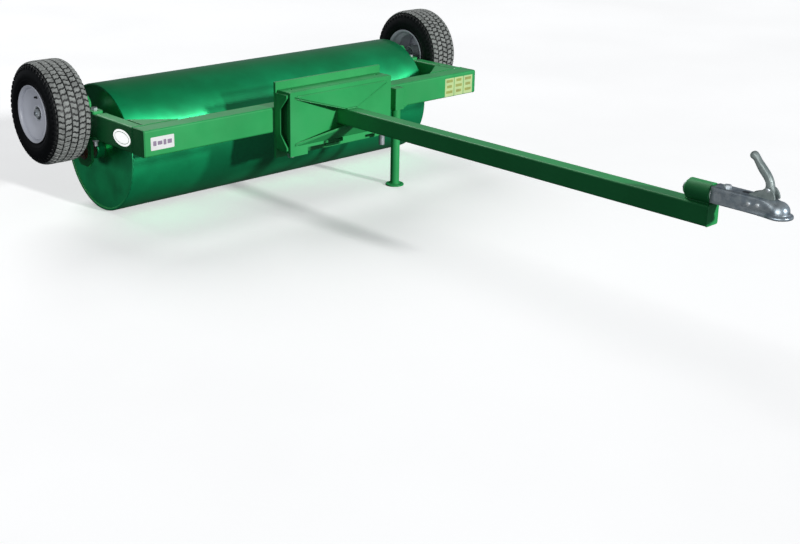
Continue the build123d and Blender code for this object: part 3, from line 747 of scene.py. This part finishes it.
def drawbar_seams():
    """The mounting plate's seams, the drawbar's end cap and the coupling's socket."""
    bar_lo, bar_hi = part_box("drawbar_tube")
    socket_lo, socket_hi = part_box("coupling_socket")
    beads = mount_seams()
    beads.append((frame_loop(bar_lo, bar_hi, 1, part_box("drawbar_end_cap")[1].y, 0.006), 0.0012, True))
    socket_r = (socket_hi.x - socket_lo.x) / 2
    axis_z = (socket_hi.z + socket_lo.z) / 2
    for side in (-1, 1):
        dx = 0.0145
        z = (bar_hi.z + axis_z - math.sqrt(socket_r ** 2 - dx ** 2)) / 2 - 0.0002
        beads.append(run((side * dx, socket_lo.y + 0.004, z), (side * dx, socket_hi.y - 0.004, z), 0.0042))
    back_y, z = socket_hi.y + 0.0002, bar_hi.z + 0.002
    beads.append(run((-0.013, back_y, z), (0.013, back_y, z), 0.0030))
    welds("drawbar_welds", "frame", beads)


def leg_seams():
    """Seams at the back of the leg's sleeve, and the ring on its foot."""
    sleeve_lo, sleeve_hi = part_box("leg_sleeve")
    tube_lo, tube_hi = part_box("leg_tube")
    foot_lo, foot_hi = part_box("leg_foot")
    leg_x, leg_y = (foot_lo.x + foot_hi.x) / 2, (foot_lo.y + foot_hi.y) / 2
    y = sleeve_hi.y - 0.0012
    beads = []
    for x in (sleeve_lo.x - 0.0004, sleeve_lo.x + 2 * (leg_x - sleeve_lo.x) + 0.0004):
        beads.append(run((x, y, sleeve_lo.z + 0.004), (x, y, sleeve_hi.z - 0.004), 0.0034))
    welds("leg_sleeve_welds", "frame", beads)
    foot_ring = circle_z(leg_x, leg_y, foot_hi.z + 0.0006, (tube_hi.x - tube_lo.x) / 2 + 0.0008)
    welds("leg_foot_weld", "leg", [(foot_ring, 0.0026, True)])


def hanger_seams():
    """Seams round each hanger's tongue and round its bearing housing."""
    tongue_lo, tongue_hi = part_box("hanger_tongues")
    half = 0.0195
    beads = []
    for name in ("left_hanger_plate", "right_hanger_plate"):
        plate_lo, plate_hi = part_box(name)
        mid = (plate_lo.x + plate_hi.x) / 2
        lo = Vector((mid - half, 0, tongue_lo.z))
        hi = Vector((mid + half, 0, tongue_hi.z))
        beads.append((frame_loop(lo, hi, 1, plate_lo.y - 0.0012, 0.004), 0.0030, True))
        for x in (plate_lo.x, plate_hi.x):
            beads.append((circle_x(x, drum_centre[1], drum_centre[2], 0.0357), 0.0028, True))
    welds("hanger_welds", "frame", beads)


corner_seams()
gusset_seams()
bracket_seams()
drawbar_seams()
leg_seams()
hanger_seams()


# ---- coupling ---------------------------------------------------------
def section(y, half, top, corner, flare, low):
    """Outer line of the pressed coupling at y, from its left foot over the top to its right foot."""
    line = [(-half - flare, low - 0.004), (-half - flare, low - 0.001), (-half - flare * 0.45, low + 0.0012),
            (-half, low + 0.004)]
    rise = top - corner - (low + 0.004)
    line += [(-half, low + 0.004 + rise * k / 5) for k in range(1, 6)]
    for t in range(15, 91, 15):
        turn = math.radians(t)
        line.append((-half + corner - corner * math.cos(turn), top - corner + corner * math.sin(turn)))
    flat = half - corner
    line += [(-flat + flat * k / 3, top) for k in range(1, 3)]
    line.append((0.0, top))
    line += [(-x, z) for x, z in reversed(line[:-1])]
    return [(x, y, z) for x, z in line]


def slab(line, x0, x1):
    """A flat plate between x0 and x1 from an outline of (y, z) points: verts and faces."""
    n = len(line)
    verts = [(x, y, z) for x in (x0, x1) for y, z in line]
    faces = [tuple(range(n)), tuple(range(n, 2 * n))]
    faces += [(k, (k + 1) % n, n + (k + 1) % n, n + k) for k in range(n)]
    return verts, faces


def ring_z(profile, centre):
    """A closed outline of (radius, height) points turned about the vertical: verts and faces."""
    cx, cy, cz = centre
    segments = 96
    verts = []
    for i in range(segments):
        a = 2 * math.pi * i / segments
        verts += [(cx + r * math.cos(a), cy + r * math.sin(a), cz + z) for r, z in profile]
    return verts, ring_faces(segments, len(profile), True)


def lever_pivot():
    """Y and Z of the hand lever's pivot."""
    lo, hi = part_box("coupling_handle")
    return hi.y - 0.0685, lo.z + 0.019


def coupling_shell(back, low, ball_y, top):
    """Pressed body: a row of sections from the back to the ball, closed by the dome's front half."""
    ball_z = low + ball_height
    half, dome = body_half, dome_radius
    rows = [(back, half, top, 0.006, 0.0), (back - 0.012, half, top, 0.006, 0.0),
            (back - 0.060, half, top, 0.006, 0.0), (back - 0.110, half, top, 0.0062, 0.0),
            (back - 0.150, half, top, 0.0066, 0.0012), (ball_y + 0.046, half, top, 0.0075, 0.0026),
            (ball_y + 0.037, half, top - 0.0001, 0.0090, 0.0036),
            (ball_y + 0.030, half + 0.0002, top - 0.0003, 0.0115, 0.0043),
            (ball_y + 0.023, half + 0.0009, top - 0.0006, 0.0150, 0.0048),
            (ball_y + 0.016, half + 0.0018, top - 0.0010, 0.0200, 0.005),
            (ball_y + 0.009, half + 0.0029, top - 0.0015, 0.0255, 0.005),
            (ball_y + 0.004, dome - 0.0003, top - 0.0018, 0.0292, 0.005),
            (ball_y, dome, ball_z + dome, 0.030, 0.005)]
    rings = [section(y, h, t, c, f, low) for y, h, t, c, f in rows]
    count = len(rings[0])
    verts = [p for ring in rings for p in ring]
    faces = []
    for i in range(len(rings) - 1):
        for k in range(count - 1):
            faces.append((i * count + k, i * count + k + 1, (i + 1) * count + k + 1, (i + 1) * count + k))
    last = rings[-1]
    mid = count // 2
    quarter = [(-x, z) for x, y, z in last[:mid + 1]]
    steps = 28
    base = len(verts)
    for s in range(steps + 1):
        a = math.pi * s / steps
        for r, z in quarter:
            verts.append((-r * math.cos(a), ball_y - r * math.sin(a), z))
    width = len(quarter)
    for s in range(steps):
        for k in range(width - 1):
            faces.append((base + s * width + k, base + (s + 1) * width + k,
                          base + (s + 1) * width + k + 1, base + s * width + k + 1))
    body = piece("coupling_pressing", verts, faces, pressed_zinc, "coupling", "zinc", sharp=50.0)
    solid = body.modifiers.new("sheet", "SOLIDIFY")
    solid.thickness = 0.0036
    solid.offset = -1.0
    solid.use_even_offset = True
    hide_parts("coupling_body")


def coupling_lip(ball_y, low):
    """Turned lip under the dome, outlined in millimetres of radius and height."""
    lip = [(26.4, -2.8), (38.2, -2.8), (39.7, -1.4), (40.0, 1.0), (39.8, 4.2), (38.8, 6.0), (36.5, 6.9),
           (33.0, 7.4), (30.6, 9.6), (29.6, 12.5), (26.4, 12.5)]
    rim = ring_z([(r / 1000, z / 1000) for r, z in lip], (0.0, ball_y, low))
    piece("coupling_rim", *rim, pressed_zinc, "coupling", "zinc", sharp=50.0)


def coupling_saddle(top):
    """Cheeks and bridge that carry the lever, and a dark card on the body's top: painted shade for the opening
    under the lever.
    """
    pivot_y, pivot_z = lever_pivot()
    ramp = [(-24, -26), (-22, -14), (-18, -5), (-8, 6), (7, 7), (18, -3), (34, -12), (54, -19),
            (58, -24), (58, -26)]
    line = rounded([(pivot_y + y / 1000, pivot_z + z / 1000) for y, z in ramp], 2)
    bridge = [(19, -6), (34, -14), (53, -21), (56, -26), (19, -26)]
    bridge = [(pivot_y + y / 1000, pivot_z + z / 1000) for y, z in bridge]
    slabs = [slab(line, side * 0.0107, side * 0.0160) for side in (-1, 1)]
    slabs.append(slab(bridge, -0.0110, 0.0110))
    ear = piece("coupling_saddle", *merge(slabs), cast_grey, "coupling", "zinc", sharp=30.0)
    edge = ear.modifiers.new("edge", "BEVEL")
    edge.width = 0.0012
    edge.segments = 2
    edge.limit_method = "ANGLE"
    # A dark card laid on the closed body's top: painted shade standing in for the shadowed inside of the
    # lever's opening.
    opening = (-0.009, 0.009, 0.057, 0.084)
    painted_shade_card = rect_card((0.0, pivot_y, top), (1, 0, 0), (0, 1, 0), (0, 0, 1), *opening, 0.006, 0.0003)
    piece("coupling_window", *painted_shade_card, dark_metal, "coupling", "zinc")


def coupling_piece():
    """The pressed body with its lip and saddle.  Gives the ball's Y and the top's Z."""
    lo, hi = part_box("coupling_body")
    low = lo.z + 0.003
    ball_y = lo.y + rim_radius
    top = low + body_height
    coupling_shell(hi.y, low, ball_y, top)
    coupling_lip(ball_y, low)
    coupling_saddle(top)
    return ball_y, top


coupling_facts = coupling_piece()


SPINE = ((0.0015, -0.0185, 0.0110, 0.0090), (0.0015, -0.0150, 0.0135, 0.0098),
         (0.0020, -0.0060, 0.0142, 0.0100), (0.0020, 0.0030, 0.0134, 0.0100),
         (0.0022, 0.0110, 0.0116, 0.0100), (0.0050, 0.0225, 0.0112, 0.0100),
         (0.0125, 0.0345, 0.0116, 0.0100), (0.0235, 0.0465, 0.0124, 0.0100),
         (0.0330, 0.0570, 0.0120, 0.0100), (0.0415, 0.0670, 0.0104, 0.0100),
         (0.0485, 0.0765, 0.0090, 0.0100), (0.0540, 0.0835, 0.0096, 0.0104),
         (0.0590, 0.0872, 0.0114, 0.0110), (0.0640, 0.0902, 0.0110, 0.0108),
         (0.0682, 0.0925, 0.0084, 0.0086), (0.0702, 0.0936, 0.0030, 0.0036))


def lever_piece():
    """Cast hand lever: foot round the pivot, rising blade and a knob."""
    pivot_y, pivot_z = lever_pivot()
    ring = 20
    verts = []
    for i, (dy, dz, tall, wide) in enumerate(SPINE):
        a = SPINE[max(0, i - 1)]
        b = SPINE[min(len(SPINE) - 1, i + 1)]
        along = Vector((0.0, b[0] - a[0], b[1] - a[1])).normalized()
        across = Vector((0.0, -along.z, along.y))
        middle = Vector((0.0, pivot_y + dy, pivot_z + dz))
        for k in range(ring):
            t = 2 * math.pi * k / ring
            c, s = math.cos(t), math.sin(t)
            sx = math.copysign(abs(c) ** 0.55, c) * wide
            sa = math.copysign(abs(s) ** 0.55, s) * tall
            verts.append(middle + Vector((sx, 0, 0)) + across * sa)
    faces = ring_faces(len(SPINE), ring) + end_faces(len(SPINE), ring)
    lever = piece("coupling_lever", verts, faces, cast_grey, "handle", "cast_grey", sharp=45.0)
    smooth = lever.modifiers.new("smooth", "SUBSURF")
    smooth.levels = 1
    smooth.render_levels = 1
    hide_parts("coupling_handle")


lever_piece()


def round_head(centre, axis, r, h):
    """A domed rivet head: verts and faces, standing on centre along axis."""
    along = Vector(axis).normalized()
    side = along.orthogonal().normalized()
    up = along.cross(side)
    profile = [(0.0, r), (h * 0.35, r), (h * 0.62, r * 0.93), (h * 0.85, r * 0.75), (h * 0.96, r * 0.45),
               (h, r * 0.05)]
    ring = 28
    verts = []
    for d, rr in profile:
        for k in range(ring):
            t = 2 * math.pi * k / ring
            verts.append(Vector(centre) + along * d + (side * math.cos(t) + up * math.sin(t)) * rr)
    return verts, ring_faces(len(profile), ring) + end_faces(len(profile), ring)


def coupling_heads():
    """Rivet heads on the side pins and the lever's pivot."""
    ball_y, top = coupling_facts
    pivot_y, pivot_z = lever_pivot()
    heads = []
    for side in (-1, 1):
        for x, y, z, height in ((0.0262, ball_y + 0.053, top - 0.022, 0.0032),
                                (0.0262, ball_y + 0.081, top - 0.024, 0.0032),
                                (0.0160, pivot_y, pivot_z, 0.0030)):
            heads.append(round_head((side * x, y, z), (side, 0, 0), rivet_radius, height))
    piece("coupling_rivet_heads", *merge(heads), zinc, "coupling", "zinc", sharp=40.0)


coupling_heads()


# ---- labels -----------------------------------------------------------
def labels():
    """Blank oval label on the left arm; white label and yellow labels with plain bars on the beam."""
    beam_lo, beam_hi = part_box("crossbeam")
    arm_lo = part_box("left_arm")[0]
    mid_z = (beam_lo.z + beam_hi.z) / 2
    across, along, up = (1, 0, 0), (0, 1, 0), (0, 0, 1)
    left, front = (-1, 0, 0), (0, -1, 0)

    x, y, z = arm_lo.x, arm_lo.y + 0.072, mid_z - 0.003
    label = oval_card((x, y, z), along, up, left, 0.060, 0.031, film_thick)
    # The oval label's white film glows: painted light that keeps it white on the arm's shaded outer face.
    piece("oval_label", *label, reflective_film, "frame")
    field = oval_card((x - film_thick, y, z), along, up, left, 0.050, 0.023, print_thick)
    piece("oval_label_field", *field, dark_film, "frame")
    middle = oval_card((x - 0.0007, y, z), along, up, left, 0.0475, 0.0208, print_thick)
    piece("oval_label_centre", *middle, reflective_film, "frame")

    spot = (0.0, beam_lo.y, mid_z)
    raised = (0.0, beam_lo.y - film_thick, mid_z)
    extent = (beam_lo.x + 0.024, beam_lo.x + 0.124, -0.027, 0.022)
    piece("white_label", *rect_card(spot, across, up, front, *extent, 0.003, film_thick), white_film, "frame")
    bars = []
    for start, wide, tall in ((0.034, 0.014, 0.009), (0.053, 0.020, 0.007),
                              (0.078, 0.012, 0.010), (0.095, 0.019, 0.008)):
        x = beam_lo.x + start
        extent = (x, x + wide, -0.002 - tall, -0.002 + tall)
        bars.append(rect_card(raised, across, up, front, *extent, 0.002, print_thick))
    piece("white_label_bars", *merge(bars), grey_film, "frame")

    panels, marks = [], []
    wide = 0.0545
    for k in range(3):
        x = beam_hi.x - 0.183 + k * 0.0575
        panels.append(rect_card(spot, across, up, front, x, x + wide, -0.046, 0.034, 0.002, film_thick))
        for j in range(3):
            z = 0.022 - j * 0.024
            inset = 0.008 + 0.004 * ((k + j) % 2)
            extent = (x + inset, x + wide - inset, z - 0.007, z + 0.005)
            marks.append(rect_card(raised, across, up, front, *extent, 0.002, print_thick))
    piece("yellow_label", *merge(panels), yellow_film, "frame")
    piece("yellow_label_bars", *merge(marks), amber_film, "frame")


labels()


# ---- floor, light, camera --------------------------------------------
def stage():
    """A wide pale floor that casts no tint on the object's sides."""
    z = -0.0005
    corners = ((-1, -1), (1, -1), (1, 1), (-1, 1))
    mesh = bpy.data.meshes.new("floor")
    mesh.from_pydata([(floor_size * x, floor_size * y, z) for x, y in corners], [], [(0, 1, 2, 3)])
    mesh.materials.append(floor_paint("floor_paint"))
    floor = bpy.data.objects.new("floor", mesh)
    floor.visible_diffuse = False
    floor.visible_glossy = False
    bpy.context.scene.collection.objects.link(floor)


def area(name, place, aim, size, power):
    """A rectangular lamp that the camera doesn't see."""
    light = bpy.data.lights.new(name, "AREA")
    light.shape = "RECTANGLE"
    light.size, light.size_y = size
    light.energy = power
    obj = bpy.data.objects.new(name, light)
    obj.location = place
    obj.rotation_euler = (Vector(aim) - Vector(place)).to_track_quat("-Z", "Y").to_euler()
    obj.visible_camera = False
    bpy.context.scene.collection.objects.link(obj)
    return obj


def sun(name, toward, strength, angle):
    """A distant lamp whose light comes from the direction toward."""
    light = bpy.data.lights.new(name, "SUN")
    light.energy = strength
    light.angle = math.radians(angle)
    obj = bpy.data.objects.new(name, light)
    obj.rotation_euler = Vector(toward).to_track_quat("Z", "Y").to_euler()
    bpy.context.scene.collection.objects.link(obj)
    return obj


FILL_WORDS = ("rim", "hub", "coupling", "oval", "bolts", "_nuts")


def plated_piece(name):
    """The zinc and grey pieces, and the oval label with its glowing film, which a fill light lifts."""
    return "socket" not in name and any(word in name for word in FILL_WORDS)


def limit(light, wanted):
    """Lets a light reach only the pieces whose names are wanted."""
    lit = bpy.data.collections.new(light.name + "_receivers")
    for obj in bpy.context.scene.objects:
        if obj.type == "MESH" and wanted(obj.name):
            lit.objects.link(obj)
    light.light_linking.receiver_collection = lit


def sky():
    """A dim studio sky: brighter to the front right, dark below the horizon."""
    world = bpy.data.worlds.new("studio")
    bpy.context.scene.world = world
    world.use_nodes = True
    tree = world.node_tree
    direction = tree.nodes.new("ShaderNodeTexCoord").outputs["Generated"]
    split = tree.nodes.new("ShaderNodeSeparateXYZ")
    tree.links.new(direction, split.inputs[0])
    front = tree.nodes.new("ShaderNodeVectorMath")
    front.operation = "DOT_PRODUCT"
    front.inputs[1].default_value = (0.6, -0.8, 0.0)
    tree.links.new(direction, front.inputs[0])
    level = None
    for value, low, high, a, b in ((front.outputs["Value"], -1.0, 1.0, sky_left, sky_front),
                                   (split.outputs["Z"], 0.1, 1.0, 1.0, sky_zenith),
                                   (split.outputs["Z"], -0.2, 0.06, sky_ground, 1.0)):
        step = tree.nodes.new("ShaderNodeMapRange")
        for key, number in (("From Min", low), ("From Max", high), ("To Min", a), ("To Max", b)):
            step.inputs[key].default_value = number
        tree.links.new(value, step.inputs["Value"])
        if level is None:
            level = step.outputs["Result"]
            continue
        product = tree.nodes.new("ShaderNodeMath")
        product.operation = "MULTIPLY"
        tree.links.new(level, product.inputs[0])
        tree.links.new(step.outputs["Result"], product.inputs[1])
        level = product.outputs[0]
    back = tree.nodes["Background"]
    back.inputs["Color"].default_value = (0.90, 0.98, 1.08, 1.0)
    tree.links.new(level, back.inputs["Strength"])


def lights():
    """Sky and sun, and four lamps that each reach only some of the pieces."""
    sky()
    sun("sun", sun_toward, 2.8, 3.0)
    limit(sun("band_light", (0.42, -0.83, 0.37), 3.3, 5.0), lambda name: "drum" in name)
    limit(sun("back_light", (0.15, 0.75, 0.65), 1.45, 40.0),
          lambda name: "drum" not in name and not plated_piece(name))
    limit(area("side_fill", (-4.2, -2.2, 1.3), (-0.4, -0.4, 0.4), (4.0, 2.5), 150.0), plated_piece)
    limit(area("disc_fill", (-4.0, 2.0, 0.3), (-0.8, 1.1, 0.3), (1.5, 1.0), 60.0),
          lambda name: "left_end_disc" in name or "drum_" in name)


def camera():
    """The photo's viewpoint, fitted to the object's outline."""
    data = bpy.data.cameras.new("camera")
    data.sensor_width = 36.0
    data.lens = 54.59
    data.shift_x = 0.0999
    data.shift_y = -0.1082
    data.clip_end = 200.0
    obj = bpy.data.objects.new("camera", data)
    obj.location = (-3.06575, -2.97982, 1.49492)
    obj.rotation_euler = (math.pi / 2 - 0.2942, 0.0, -0.6973)
    bpy.context.scene.collection.objects.link(obj)
    bpy.context.scene.camera = obj


stage()
lights()
camera()
bpy.context.scene.view_settings.view_transform = "Standard"
